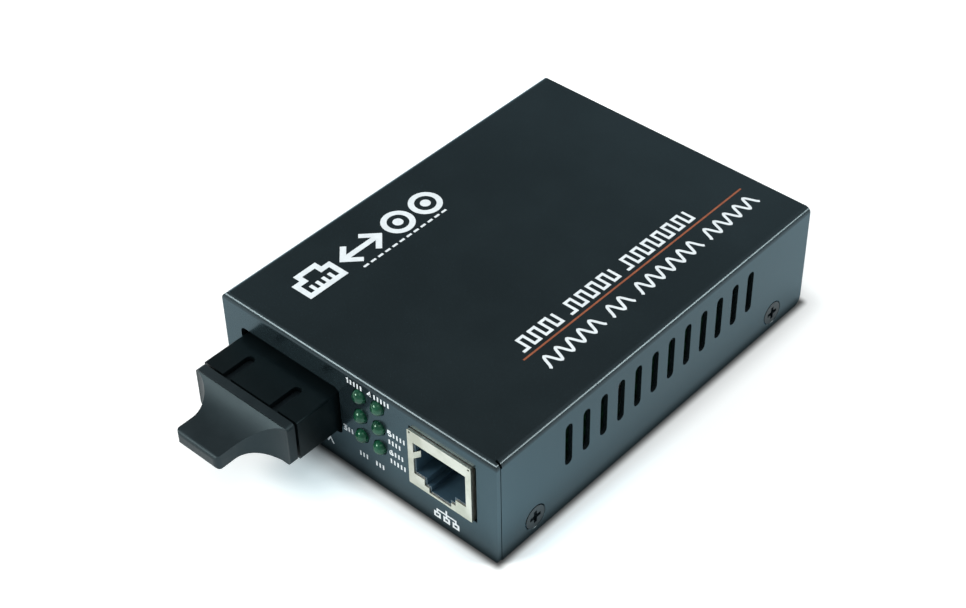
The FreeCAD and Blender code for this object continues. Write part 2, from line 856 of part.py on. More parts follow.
def make_optical_barrels():
    """Each barrel runs from the port through the bulkhead to a collar in the cavity."""
    barrels = []
    start = size.module_front + size.barrel_front_inset
    for index, x in enumerate(port_places()):
        length = size.cavity_front - start
        tube = cylinder(f"barrel_tube_{index}", (x, start, size.port_z), "+y", size.barrel_radius, length)
        collar = cylinder(
            f"barrel_collar_{index}",
            (x, size.cavity_front, size.port_z),
            "+y",
            size.barrel_radius + size.barrel_collar_rim,
            size.barrel_collar_length,
        )
        radius = size.sleeve_radius + size.sleeve_gap
        bore = cylinder(f"barrel_bore_{index}", (x, start, size.port_z), "+y", radius, sleeve_span())
        barrels.append(cut(f"barrel_{index}", fuse(f"barrel_body_{index}", [tube, collar]), [bore]))
    return group("optical_barrels", barrels)


def sleeve_span():
    """The depth of a barrel's bore, which the ferrule sleeve fills."""
    return size.sleeve_length + size.sleeve_slit


def make_ferrule_sleeves():
    """Split tubes that line up the ferrules, one in each barrel."""
    sleeves = []
    start = size.module_front + size.barrel_front_inset + size.sleeve_slit
    for index, x in enumerate(port_places()):
        place_at = (x, start, size.port_z)
        tube = cylinder(f"sleeve_tube_{index}", place_at, "+y", size.sleeve_radius, size.sleeve_length)
        bore = cylinder(f"sleeve_bore_{index}", place_at, "+y", size.sleeve_bore_radius, size.sleeve_length)
        slit = box(
            f"sleeve_slit_{index}",
            (x - size.sleeve_slit / 2, x + size.sleeve_slit / 2),
            (start, start + size.sleeve_length),
            (size.port_z, size.port_z + size.sleeve_radius),
        )
        sleeves.append(cut(f"sleeve_{index}", tube, [bore, slit]))
    return group("ferrule_sleeves", sleeves)


def make_optical_can(name, x):
    """A metal can with a wide base, seated on the barrel's collar."""
    start = size.cavity_front + size.barrel_collar_length
    can = cylinder(f"{name}_shell", (x, start, size.port_z), "+y", size.can_radius, size.can_length)
    base_start = (x, start + size.can_length, size.port_z)
    base = cylinder(f"{name}_base", base_start, "+y", size.can_base_radius, size.can_base_thickness)
    return fuse(name, [can, base])


def module_board_span():
    """The y range of the small board in the module's cavity."""
    cans_end = size.cavity_front + size.barrel_collar_length + size.can_length + size.can_base_thickness
    rear = size.module_rear - size.module_wall - size.base_gap
    return (cans_end + size.module_board_gap, rear)


def make_module_board():
    """A small board on top of the pins, behind the cans."""
    half = size.module_width / 2 - size.module_wall - size.base_gap
    low = size.port_z - size.module_board_thickness / 2
    return box(
        "module_board",
        (size.module_x - half, size.module_x + half),
        module_board_span(),
        (low, low + size.module_board_thickness),
    )


def make_module_base():
    """The plate that closes the cavity below, with a hole for each pin."""
    half = size.module_width / 2 - size.module_wall - size.base_gap
    plate = box(
        "module_base_plate",
        (size.module_x - half, size.module_x + half),
        (size.cavity_front + size.base_gap, size.module_rear - size.module_wall - size.base_gap),
        (size.board_top, size.board_top + size.base_thickness),
    )
    return cut("module_base", plate, [module_pin(f"base_hole_{index}", index, True) for index in pin_range()])


def pin_range():
    return range(SIZES["module_pin_count"])


def module_pin(name, index, hole=False):
    """One square pin from the circuit board's face to the small board, or its hole in the base."""
    front, rear = module_board_span()
    half = size.module_pin_width / 2
    if hole:
        half = half + size.thread_clearance
    x = module_pin_places()[index]
    y = (front + rear) / 2
    top = size.port_z - size.module_board_thickness / 2
    return box(name, (x - half, x + half), (y - half, y + half), (size.board_top, top))


def make_module_pins():
    return group("module_pins", [module_pin(f"module_pin_{index}", index) for index in pin_range()])


# The dust plug, moulded in one piece: a flange over both ports, a hollow stub in each port, and a grip
# that is waisted in plan and in side view and ends in a flat paddle. Each concave side is an arc that
# starts at the flange and runs tangent into the paddle.


def concave_arc(root_half, end_half, run):
    """The radius of an arc that falls from the root's half size to the end's over a run."""
    fall = root_half - end_half
    return (run * run + fall * fall) / (2 * fall)


def make_dust_plug():
    body = new_body("dust_plug")
    flange_rear = size.plug_front + size.flange_thickness
    waist = size.plug_front - size.grip_waist_length
    end = size.plug_front - size.grip_length
    half_width = size.flange_width / 2
    half_height = size.flange_height / 2
    left = size.module_x - half_width
    right = size.module_x + half_width

    face = new_sketch(body, "plug_flange_face", "XZ", -flange_rear)
    rectangle(face, left, right, size.port_z - half_height, size.port_z + half_height)
    flange = pad(body, "plug_flange", face, size.flange_thickness)
    middle = size.plug_front + size.flange_thickness / 2
    corners = [(x, middle, size.port_z + side * half_height) for x in (left, right) for side in (-1, 1)]
    fillet(body, "plug_flange_corners", flange, corners, size.flange_round)

    root_half = size.flange_width / 2 - size.grip_side_rim
    end_half = size.grip_end_width / 2
    radius = concave_arc(root_half, end_half, size.grip_waist_length)
    corner = size.grip_corner_round
    root_height = size.flange_height - 2 * size.grip_top_rim
    plan = new_sketch(body, "plug_grip_plan", "XY", size.port_z - root_height / 2)
    outline(
        plan,
        [
            (size.module_x - root_half, size.plug_front),
            (size.module_x - end_half, waist),
            (size.module_x - end_half, end + corner),
            (size.module_x - end_half + corner, end),
            (size.module_x + end_half - corner, end),
            (size.module_x + end_half, end + corner),
            (size.module_x + end_half, waist),
            (size.module_x + root_half, size.plug_front),
        ],
        {
            0: (radius, (size.module_x - end_half - radius, waist)),
            2: (corner, (size.module_x - end_half + corner, end + corner)),
            4: (corner, (size.module_x + end_half - corner, end + corner)),
            6: (radius, (size.module_x + end_half + radius, waist)),
        },
    )
    pad(body, "plug_grip", plan, root_height)

    root_half = root_height / 2
    end_half = size.grip_end_height / 2
    radius = concave_arc(root_half, end_half, size.grip_waist_length)
    corner = size.grip_end_round
    hollows = new_sketch(body, "plug_grip_hollows", "YZ", right)
    for side in (-1, 1):
        paddle_z = size.port_z + side * end_half
        outer_z = size.port_z + side * half_height
        outline(
            hollows,
            [
                (size.plug_front, size.port_z + side * root_half),
                (waist, paddle_z),
                (end + corner, paddle_z),
                (end, paddle_z - side * corner),
                (end - corner, paddle_z - side * corner),
                (end - corner, outer_z),
                (size.plug_front, outer_z),
            ],
            {
                0: (radius, (waist, size.port_z + side * (end_half + radius))),
                2: (corner, (end + corner, paddle_z - side * corner)),
            },
        )
    pocket(body, "plug_grip_hollow_cuts", hollows, size.flange_width)

    stubs = new_sketch(body, "plug_stubs", "XZ", -flange_rear)
    bores = new_sketch(body, "plug_stub_bores", "XZ", -flange_rear - size.stub_length)
    for x in port_places():
        across = size.port_width / 2 - size.stub_gap
        up = size.port_height / 2 - size.stub_gap
        rectangle(stubs, x - across, x + across, size.port_z - up, size.port_z + up)
        circle(bores, x, size.port_z, size.barrel_radius + size.stub_bore_gap)
    pad(body, "plug_stub_blocks", stubs, size.stub_length, back=True)
    pocket(body, "plug_stub_bore_cuts", bores, size.stub_length - size.stub_floor, along=True)
    return body


# The lamps: six domed light-emitting diodes in one holder, their wires bent down to the board.


def lamp_front():
    return -size.half_length - size.lamp_reach


def holder_front():
    return size.sheet_thickness + size.lamp_panel_gap - size.half_length


def lamp_rear():
    """The back of a lamp's body, where its rim starts."""
    return holder_front() + size.lamp_holder_depth


def make_lamps():
    lamps = []
    for index, (x, z) in enumerate(lamp_places(), 1):
        dome_y = lamp_front() + size.lamp_radius
        dome = doc.addObject("Part::Sphere", f"lamp_dome_{index}")
        bind(dome, Radius=size.lamp_radius)
        turn(dome, *TURNS["-y"])
        place(dome, x, dome_y, z)
        stem = cylinder(f"lamp_stem_{index}", (x, dome_y, z), "+y", size.lamp_radius, lamp_rear() - dome_y)
        radius = size.lamp_radius + size.lamp_rim
        rim = cylinder(f"lamp_rim_{index}", (x, lamp_rear(), z), "+y", radius, size.lamp_rim_length)
        lamps.append(fuse(f"lamp_{index}", [dome, stem, rim]))
    return lamps


def make_lamp_holder():
    """A block on the board's front edge with a bore for each lamp."""
    body = new_body("lamp_holder")
    places = lamp_places()
    wall = size.lamp_bore_radius + size.lamp_holder_wall
    face = new_sketch(body, "lamp_holder_face", "XZ", -lamp_rear())
    rectangle(face, places[0][0] - wall, places[-1][0] + wall, size.board_top, size.holder_top)
    for x, z in places:
        circle(face, x, z, size.lamp_bore_radius)
    pad(body, "lamp_holder_block", face, size.lamp_holder_depth)
    return body


def make_lamp_leads():
    """Two wires behind each lamp. Each row down turns to the board closer to the holder."""
    leads = []
    start = lamp_rear() + size.lamp_rim_length
    rows = SIZES["lamp_rows"]
    half = size.lead_width / 2
    for index, (x, z) in enumerate(lamp_places()):
        bend = start + size.lead_step * (rows - index % rows)
        for side in (-1, 1):
            across = (x + side * size.lead_pitch - half, x + side * size.lead_pitch + half)
            name = f"lead_{index}_{'left' if side < 0 else 'right'}"
            run = box(f"{name}_run", across, (start, bend + half), (z - half, z + half))
            drop = box(f"{name}_drop", across, (bend - half, bend + half), (size.board_top, z + half))
            leads.append(fuse(name, [run, drop]))
    return group("lamp_leads", leads)


# The network socket: a folded tin-plate shield over a moulded insert, latch notch down. The mouth steps in
# twice below, for the plug's latch. Spring leaves are cut from the shield at both sides of the mouth, and a
# small notch in each upper corner of its face lets the folds meet.


def mouth_corners(inset):
    """The stepped opening of the socket, drawn in by an inset."""
    half_widths = [
        width / 2 - inset
        for width in (size.socket_mouth_width, size.socket_step_width, size.socket_latch_width)
    ]
    levels = [
        size.mouth_floor + inset,
        size.mouth_floor - size.socket_step_height + inset,
        size.mouth_floor - size.socket_step_height - size.socket_latch_height + inset,
    ]
    falling = [(-half_widths[0], size.mouth_top - inset)]
    for half, level in zip(half_widths, levels):
        if len(falling) > 1:
            falling.append((-half, falling[-1][1]))
        falling.append((-half, level))
    left = [(size.socket_x + x, z) for x, z in falling]
    right = [(size.socket_x - x, z) for x, z in reversed(falling)]
    return left + right


def make_socket_shield():
    body = new_body("socket_shield")
    left = size.socket_x - size.socket_width / 2
    right = size.socket_x + size.socket_width / 2
    thickness = size.shield_thickness
    face = new_sketch(body, "shield_face", "XZ", -size.socket_rear)
    rectangle(face, left, right, size.board_top, size.socket_top)
    block = pad(body, "shield_block", face, size.socket_length)
    middle = (size.socket_front + size.socket_rear) / 2
    edges = [(x, middle, size.socket_top) for x in (left, right)]
    fillet(body, "shield_bends", block, edges, thickness)
    inside = new_sketch(body, "shield_inside", "XY", size.board_top)
    rectangle(
        inside,
        left + thickness,
        right - thickness,
        size.socket_front + thickness,
        size.socket_rear - thickness,
    )
    height = size.socket_top - size.board_top
    pocket(body, "shield_hollow", inside, height - thickness, along=True)
    mouth = new_sketch(body, "shield_mouth", "XZ", -size.socket_front)
    outline(mouth, mouth_corners(0))
    pocket(body, "shield_mouth_cut", mouth, thickness)
    notches = new_sketch(body, "shield_notches", "XZ", -size.socket_front)
    notch_top = size.socket_top - size.shield_notch_inset
    for edge, side in ((left, 1), (right, -1)):
        near = edge + side * size.shield_notch_inset
        far = near + side * size.shield_notch
        rectangle(notches, near, far, notch_top - size.shield_notch, notch_top)
    pocket(body, "shield_notch_cuts", notches, thickness)

    spring_low = size.mouth_top - size.spring_drop - size.spring_height
    springs = new_sketch(body, "shield_springs", "XY", spring_low)
    for side in (-1, 1):
        edge = size.socket_x + side * size.socket_mouth_width / 2
        tip = edge - side * size.spring_reach
        outline(
            springs,
            [
                (edge, size.socket_front),
                (tip, size.socket_front + size.spring_length),
                (tip + side * thickness, size.socket_front + size.spring_length),
                (edge, size.socket_front + thickness),
            ],
        )
    pad(body, "shield_spring_leaves", springs, size.spring_height)
    return body


def insert_front():
    return size.socket_front + size.shield_thickness + size.insert_gap


def make_socket_insert():
    body = new_body("socket_insert")
    inset = size.shield_thickness + size.insert_gap
    rear = size.socket_rear - inset
    half = size.socket_width / 2 - inset
    face = new_sketch(body, "insert_face", "XZ", -rear)
    rectangle(face, size.socket_x - half, size.socket_x + half, size.board_top, size.socket_top - inset)
    pad(body, "insert_block", face, rear - insert_front())
    cavity = new_sketch(body, "insert_cavity", "XZ", -insert_front())
    outline(cavity, mouth_corners(size.socket_cavity_inset))
    pocket(body, "insert_cavity_cut", cavity, size.socket_cavity_depth)
    spring_top = size.mouth_top - size.spring_drop
    notches = new_sketch(body, "insert_spring_notches", "XZ", -insert_front())
    reach = size.socket_mouth_width / 2
    rectangle(
        notches,
        size.socket_x - reach,
        size.socket_x + reach,
        spring_top - size.spring_height - size.spring_gap,
        spring_top + size.spring_gap,
    )
    pocket(body, "insert_spring_notch_cuts", notches, size.spring_length)
    return body


def make_socket_contacts():
    """Eight spring wires that slope down and back from the cavity's ceiling."""
    body = new_body("socket_contacts")
    body.AllowCompound = True
    first = size.socket_x - size.contact_pitch * (size.contact_count - 1) / 2 - size.contact_width / 2
    ceiling = size.mouth_top - size.socket_cavity_inset
    start = insert_front() + size.contact_front_inset
    end = insert_front() + size.socket_cavity_depth - size.contact_rear_gap
    profile = new_sketch(body, "contact_profile", "YZ", first)
    outline(
        profile,
        [
            (start, ceiling),
            (end, ceiling - size.contact_fall),
            (end, ceiling - size.contact_fall + size.contact_thickness),
            (start + 2 * size.contact_thickness, ceiling),
        ],
    )
    wire = pad(body, "contact_wire", profile, size.contact_width)
    row = body.newObject("PartDesign::LinearPattern", "contact_row")
    row.Originals = [wire]
    row.Direction = (origin_feature(body, "X_Axis"), [""])
    bind(row, Length=size.contact_pitch * (size.contact_count - 1), Occurrences=size.contact_count)
    body.Tip = row
    recomputed(row)
    return body


# The power inlet, on the board's rear edge: a moulded housing with a round collar in the rear flange's
# hole, a centre pin, and a spring leaf below the bore.


def make_power_inlet():
    body = new_body("power_inlet")
    half = size.inlet_width / 2
    left = size.inlet_x - half
    right = size.inlet_x + half
    top = size.board_top + size.inlet_height
    plate_front = size.inlet_face - size.inlet_plate_length

    plate = new_sketch(body, "inlet_plate_face", "XZ", -size.inlet_face)
    rectangle(plate, left, right, size.board_top, top)
    pad(body, "inlet_plate", plate, size.inlet_plate_length)
    barrel = new_sketch(body, "inlet_barrel_face", "XZ", -plate_front)
    outline(
        barrel,
        [
            (left, size.board_top),
            (right, size.board_top),
            (right, size.inlet_z),
            (size.inlet_x, size.inlet_z + half),
            (left, size.inlet_z),
        ],
        {2: (half, (size.inlet_x, size.inlet_z)), 3: (half, (size.inlet_x, size.inlet_z))},
    )
    pad(body, "inlet_barrel", barrel, size.inlet_length - size.inlet_plate_length)
    collar = new_sketch(body, "inlet_collar_face", "XZ", -size.inlet_face)
    circle(collar, size.inlet_x, size.inlet_z, size.inlet_collar_radius)
    pad(body, "inlet_collar", collar, size.sheet_thickness + size.inlet_panel_gap, back=True)

    bore = new_sketch(body, "inlet_bore_face", "XZ", -size.half_length)
    circle(bore, size.inlet_x, size.inlet_z, size.inlet_bore_radius)
    pocket(body, "inlet_bore", bore, size.inlet_bore_depth, along=True)
    slot = new_sketch(body, "inlet_spring_slot", "XZ", -size.inlet_face)
    across = size.inlet_spring_width / 2 + size.thread_clearance
    floor = size.inlet_z - size.inlet_bore_radius - size.inlet_spring_thickness
    rectangle(slot, size.inlet_x - across, size.inlet_x + across, floor, size.inlet_z)
    pocket(body, "inlet_spring_slot_cut", slot, inlet_spring_length(), along=True)
    return body


def inlet_bore_floor():
    return size.half_length - size.inlet_bore_depth


def inlet_spring_length():
    return size.inlet_face - inlet_bore_floor()


def make_inlet_pin():
    length = size.inlet_bore_depth - size.inlet_pin_inset
    start = (size.inlet_x, inlet_bore_floor(), size.inlet_z)
    return cylinder("inlet_pin", start, "+y", size.inlet_pin_radius, length)


def make_inlet_spring():
    half = size.inlet_spring_width / 2
    top = size.inlet_z - size.inlet_bore_radius
    return box(
        "inlet_spring",
        (size.inlet_x - half, size.inlet_x + half),
        (inlet_bore_floor(), size.inlet_face),
        (top - size.inlet_spring_thickness, top),
    )


# What else the circuit board carries. Each part stands on the board's face, clear of its neighbours.


def block_on_board(name, x, front, width, length, height):
    """A moulded part with chamfered upper edges, centred on x, from its front edge back."""
    body = new_body(name)
    footprint = new_sketch(body, f"{name}_footprint", "XY", size.board_top)
    rectangle(footprint, x - width / 2, x + width / 2, front, front + length)
    block = pad(body, f"{name}_block", footprint, height)
    top = size.board_top + height
    middle = front + length / 2
    edges = [(x + side * width / 2, middle, top) for side in (-1, 1)]
    edges += [(x, y, top) for y in (front, front + length)]
    chamfer(body, f"{name}_edges", block, edges, size.part_edge_cut)
    return body


def make_board_parts():
    behind_module = size.module_rear + size.part_spacing
    chip_rear = behind_module + size.chip_side
    before_inlet = size.inlet_front - size.part_spacing
    parts = [
        block_on_board(
            "network_transformer",
            size.socket_x - size.transformer_shift,
            size.socket_rear + size.part_spacing,
            size.transformer_width,
            size.transformer_length,
            size.transformer_height,
        ),
        block_on_board("converter_chip", 0, behind_module, size.chip_side, size.chip_side, size.chip_height),
        block_on_board(
            "line_chip",
            -size.line_chip_shift,
            behind_module,
            size.line_chip_side,
            size.line_chip_side,
            size.line_chip_height,
        ),
        block_on_board(
            "crystal",
            0,
            chip_rear + size.part_spacing,
            size.crystal_length,
            size.crystal_width,
            size.crystal_height,
        ),
        block_on_board(
            "power_inductor",
            size.inlet_x,
            before_inlet - size.inductor_side,
            size.inductor_side,
            size.inductor_side,
            size.inductor_height,
        ),
        block_on_board(
            "voltage_regulator",
            size.inlet_x + size.regulator_shift,
            before_inlet - size.regulator_length,
            size.regulator_width,
            size.regulator_length,
            size.regulator_height,
        ),
    ]
    cans = []
    for index in range(SIZES["capacitor_count"]):
        x = size.inlet_x + size.capacitor_shift + size.capacitor_pitch * index
        start = (x, size.board_rear - size.capacitor_rear_inset, size.board_top)
        cans.append(
            cylinder(f"storage_capacitor_{index}", start, "+z", size.capacitor_radius, size.capacitor_height)
        )
    return parts + [group("storage_capacitors", cans)]


# Hand the pieces over


def check_document():
    """Stop if any object failed to recompute."""
    doc.recompute()
    for item in doc.Objects:
        if "Invalid" in item.State or "Error" in item.State:
            raise RuntimeError(f"{item.Name}: {item.State}")


def export(items):
    """Write each piece to its own file, named by its label."""
    os.makedirs("parts", exist_ok=True)
    for item in items:
        if item.Shape.isNull() or not item.Shape.isValid():
            raise RuntimeError(f"{item.Label} has no valid shape")
    for item in items:
        item.Shape.exportStep(f"parts/{item.Label}.step")
        solids = len(item.Shape.Solids)
        print(f"{item.Label}: {solids} solids, {item.Shape.Volume:.1f} mm3")


pieces = [
    make_top_cover(),
    make_bottom_tray(),
    make_case_screws(),
    make_circuit_board(),
    make_board_standoffs(),
    make_board_screws(),
    make_transceiver_housing(),
    make_optical_barrels(),
    make_ferrule_sleeves(),
    make_optical_can("laser_can", port_places()[0]),
    make_optical_can("detector_can", port_places()[1]),
    make_module_board(),
    make_module_base(),
    make_module_pins(),
    make_dust_plug(),
    *make_lamps(),
    make_lamp_holder(),
    make_lamp_leads(),
    make_socket_shield(),
    make_socket_insert(),
    make_socket_contacts(),
    make_power_inlet(),
    make_inlet_pin(),
    make_inlet_spring(),
    *make_board_parts(),
]
check_document()
export(pieces)
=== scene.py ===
import bpy
import numpy as np
from mathutils import Matrix, Vector


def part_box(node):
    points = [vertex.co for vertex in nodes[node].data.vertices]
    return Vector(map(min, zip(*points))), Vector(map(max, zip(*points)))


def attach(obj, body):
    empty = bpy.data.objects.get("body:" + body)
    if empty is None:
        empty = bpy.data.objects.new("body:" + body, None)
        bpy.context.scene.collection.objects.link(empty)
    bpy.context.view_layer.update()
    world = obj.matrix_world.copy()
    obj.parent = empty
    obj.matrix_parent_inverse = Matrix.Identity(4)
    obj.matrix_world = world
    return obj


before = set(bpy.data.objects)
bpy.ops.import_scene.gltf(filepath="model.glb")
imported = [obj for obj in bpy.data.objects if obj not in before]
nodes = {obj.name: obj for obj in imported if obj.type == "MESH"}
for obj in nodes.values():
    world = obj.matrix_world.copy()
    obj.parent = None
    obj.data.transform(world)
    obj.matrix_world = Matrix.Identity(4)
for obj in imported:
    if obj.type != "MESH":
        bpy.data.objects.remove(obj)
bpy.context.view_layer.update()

# A desk-top fibre media converter: a black folded-sheet case of 70 x 94 x 25 mm with a duplex optical
# receptacle and its dust plug, six green lamps and a network socket in front. Metres, in the frame of the
# case: the underside's centre is the origin, +Z is up and the front faces -Y.
MM = 0.001

# The studio: a white table and a bright horizon under a pale ceiling with a dark flag, which the top mirrors.
# Of the three soft lights one stands beyond the front left corner and one behind the right side, so that both
# top bends catch a line of light. The camera looks down over the front right corner from 0.39 m away.

CAMERA_PLACE = (0.18769, -0.21429, 0.26390)
CAMERA_RIGHT = (0.74364, 0.66836, -0.01687)
CAMERA_UP = (-0.43461, 0.50243, 0.74745)
CAMERA_BACK = (0.50804, -0.54850, 0.66411)
CAMERA_LENS = 71.26
CAMERA_SENSOR = 36.0

camera_data = bpy.data.cameras.new("camera")
camera_data.lens = CAMERA_LENS
camera_data.sensor_width = CAMERA_SENSOR
camera_data.clip_start = 0.01
camera = bpy.data.objects.new("camera", camera_data)
turned = Matrix((CAMERA_RIGHT, CAMERA_UP, CAMERA_BACK)).transposed()
camera.matrix_world = Matrix.Translation(CAMERA_PLACE) @ turned.to_4x4()
bpy.context.scene.collection.objects.link(camera)
bpy.context.scene.camera = camera
bpy.context.scene.view_settings.view_transform = "Standard"


class Socket:
    """A shader socket that can be added, taken away and multiplied like a number."""

    def __init__(self, tree, socket):
        self.tree = tree
        self.socket = socket

    def node(self, kind, settings=None, output=0, **inputs):
        """Any node of this tree: its settings first, then the values or links of its inputs.

        An input goes by its name, with low lines for spaces, or by a low line and its number."""
        made = self.tree.nodes.new(kind)
        for name, value in (settings or {}).items():
            setattr(made, name, value)
        for name, value in inputs.items():
            key = int(name[1:]) if name[0] == "_" else name.replace("_", " ")
            if isinstance(value, Socket):
                self.tree.links.new(value.socket, made.inputs[key])
            else:
                made.inputs[key].default_value = value
        return Socket(self.tree, made.outputs[output])

    def math(self, operation, *values):
        """A Math node on the values, in their order."""
        inputs = {f"_{number}": value for number, value in enumerate(values)}
        return self.node("ShaderNodeMath", {"operation": operation}, **inputs)

    def __add__(self, other):
        return self.math("ADD", self, other)

    def __radd__(self, other):
        return self.math("ADD", other, self)

    def __sub__(self, other):
        return self.math("SUBTRACT", self, other)

    def __rsub__(self, other):
        return self.math("SUBTRACT", other, self)

    def __mul__(self, other):
        return self.math("MULTIPLY", self, other)

    def __rmul__(self, other):
        return self.math("MULTIPLY", other, self)

    def fraction(self):
        """What is left of this number above the whole number below it."""
        return self.math("FRACT", self)

    def step(self, low, high):
        """0 below low and 1 above high, with a smooth rise between."""
        settings = {"interpolation_type": "SMOOTHSTEP"}
        return self.node("ShaderNodeMapRange", settings, Value=self, From_Min=low, From_Max=high)

    def blend(self, first, second):
        """The first colour where this socket is 0 and the second where it is 1."""
        return self.node("ShaderNodeMix", {"data_type": "RGBA"}, output=2, Factor=self, _6=first, _7=second)

    def vector(self, operation, *values, output=0):
        """A Vector Math node on this socket and the values."""
        inputs = {f"_{number}": value for number, value in enumerate((self, *values))}
        return self.node("ShaderNodeVectorMath", {"operation": operation}, output=output, **inputs)

    def noise(self, scale, detail=2.0, roughness=0.5):
        """Cloudy noise over this place socket, in cells of one over the scale."""
        inputs = {"Vector": self, "Scale": scale, "Detail": detail, "Roughness": roughness}
        return self.node("ShaderNodeTexNoise", **inputs)

    def stretched(self, scale):
        """This place socket with each axis multiplied."""
        return self.node("ShaderNodeMapping", Vector=self, Scale=scale)

    def axis(self, number):
        """One number of this place socket: 0 for X, 1 for Y and 2 for Z."""
        return self.node("ShaderNodeSeparateXYZ", output=number, Vector=self)

    def bump(self, height, distance, strength):
        """The surface's normal over a relief of a height from 0 to 1, as deep as the distance."""
        return self.node("ShaderNodeBump", Height=height, Distance=distance, Strength=strength)


def new_material(name):
    """A material with one Principled shader, and the socket of its Object coordinates."""
    material = bpy.data.materials.new(name)
    material.use_nodes = True
    tree = material.node_tree
    shader = tree.nodes["Principled BSDF"]
    place = Socket(tree, tree.nodes.new("ShaderNodeTexCoord").outputs["Object"])
    return material, shader, place


def wire(shader, **inputs):
    """Link sockets to the shader's inputs, and set the ones that are numbers or colours."""
    for name, value in inputs.items():
        target = shader.inputs[name.replace("_", " ")]
        if isinstance(value, Socket):
            value.tree.links.new(value.socket, target)
        else:
            target.default_value = value


def grey(level):
    """A colour without a hue."""
    return (level, level, level, 1.0)


# The table: a wide white sheet. It glows where the camera, a reflection or a view through something clear
# meets it, even around it and brightest towards its edges, with a painted spot of bluish light before the
# front right corner. The glow fades out over the last 7 mm before the case, a painted shade, and the sheet's
# own colour darkens over the last 2 mm, a painted contact shadow.

TABLE_HALF = 1.6
TABLE_COLOUR = grey(0.90)
PAINTED_SHADOW_COLOUR = grey(0.10)
PAINTED_SHADOW_REACH = 2.0 * MM
TABLE_GLOW = (0.30, 0.31, 0.31, 1.0)
PAINTED_SHADE_REACH = 7.0 * MM
PAINTED_POOL_GLOW = (0.46, 0.72, 0.82, 1.0)
PAINTED_POOL_CENTRE = (0.060, -0.085, 0.0)
PAINTED_POOL_REACH = (0.020, 0.100)
FAR_GLOW = grey(0.75)
FAR_REACH = (0.25, 0.80)
BLACK = grey(0.0)

table_mesh = bpy.data.meshes.new("floor")
corners = [(x * TABLE_HALF, y * TABLE_HALF, 0) for x, y in ((-1, -1), (1, -1), (1, 1), (-1, 1))]
table_mesh.from_pydata(corners, [], [(0, 1, 2, 3)])
floor = bpy.data.objects.new("floor", table_mesh)
bpy.context.scene.collection.objects.link(floor)

table_paint, shader, place = new_material("floor_paint")
rays = table_paint.node_tree.nodes.new("ShaderNodeLightPath")
camera_ray, glossy_ray, through_ray = (
    Socket(table_paint.node_tree, rays.outputs[name])
    for name in ("Is Camera Ray", "Is Glossy Ray", "Is Transmission Ray")
)
seen = (camera_ray + glossy_ray + through_ray).step(0.0, 1.0)
case_half = tuple((high - low) / 2 for low, high in zip(*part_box("top_cover")))
beyond = place.vector("ABSOLUTE").vector("SUBTRACT", case_half).vector("MAXIMUM", (0.0, 0.0, 0.0))
outside = beyond.vector("LENGTH", output=1)
from_painted_pool = place.vector("DISTANCE", PAINTED_POOL_CENTRE, output=1)
# A painted spot of bluish light in the glow, brightest before the case's front right corner.
painted_pool = from_painted_pool.step(*PAINTED_POOL_REACH).blend(PAINTED_POOL_GLOW, TABLE_GLOW)
# The glow fades to black within 7 mm of the case's footprint: painted shade around its foot.
glow_with_painted_shade = outside.step(0.0, PAINTED_SHADE_REACH).blend(BLACK, painted_pool)
glow = outside.step(*FAR_REACH).blend(glow_with_painted_shade, FAR_GLOW)
# The sheet's colour darkens to near black within 2 mm of the case's footprint: a painted contact shadow.
paint = outside.step(0.0, PAINTED_SHADOW_REACH).blend(PAINTED_SHADOW_COLOUR, TABLE_COLOUR)
wire(shader, Emission_Color=seen.blend(BLACK, glow), Emission_Strength=1.0)
wire(shader, Base_Color=paint, Roughness=0.9, Specular_IOR_Level=0.1)
table_mesh.materials.append(table_paint)

# The room: a pale ceiling, a bright horizon that ends at the sine of an angle above the table, and the flag,
# a round dark cloth whose soft edge is given as the cosines of the angles from its middle. The three soft
# lights are rectangles that face the case, all at one distance.

HORIZON_COLOUR = (0.93, 0.98, 1.0, 1.0)
HORIZON_EDGE = (0.02, 0.34)
SKY_COLOUR = (0.56, 0.62, 0.65, 1.0)
FLAG_COLOUR = (0.18, 0.19, 0.19, 1.0)
FLAG_WAY = (-0.562, 0.402, 0.723)
FLAG_EDGE = (0.88, 0.995)
LIGHT_COLOUR = (1.0, 0.95, 0.90)
LIGHT_DISTANCE = 0.9

world = bpy.data.worlds.new("studio")
bpy.context.scene.world = world
world.use_nodes = True
sky = Socket(world.node_tree, world.node_tree.nodes.new("ShaderNodeTexCoord").outputs["Generated"])
flag = sky.vector("DOT_PRODUCT", FLAG_WAY, output=1)
ceiling = flag.step(*FLAG_EDGE).blend(SKY_COLOUR, FLAG_COLOUR)
sky_colour = sky.axis(2).step(*HORIZON_EDGE).blend(HORIZON_COLOUR, ceiling)
world.node_tree.links.new(sky_colour.socket, world.node_tree.nodes["Background"].inputs["Color"])


def soft_light(name, direction, width, height, watts):
    """A rectangular area light that faces the middle of the case from a direction."""
    data = bpy.data.lights.new(name, "AREA")
    data.shape = "RECTANGLE"
    data.size = width
    data.size_y = height
    data.energy = watts
    data.color = LIGHT_COLOUR
    light = bpy.data.objects.new(name, data)
    way = Vector(direction).normalized()
    light.location = way * LIGHT_DISTANCE
    light.rotation_mode = "QUATERNION"
    light.rotation_quaternion = way.to_track_quat("Z", "Y")
    bpy.context.scene.collection.objects.link(light)


soft_light("front_left_light", (-0.50, -0.66, 0.55), width=0.34, height=0.20, watts=5.4)
soft_light("rear_right_light", (0.66, 0.55, 0.51), width=0.34, height=0.18, watts=4.3)
soft_light("overhead_light", (0.25, -0.30, 1.0), width=0.40, height=0.40, watts=0.7)

# The bottom tray: a sheet of 1 mm steel folded up at the back, under a coat of satin black powder paint with
# a blue-green cast. The paint has a fine orange peel and a few pale flecks, and its gloss drifts.

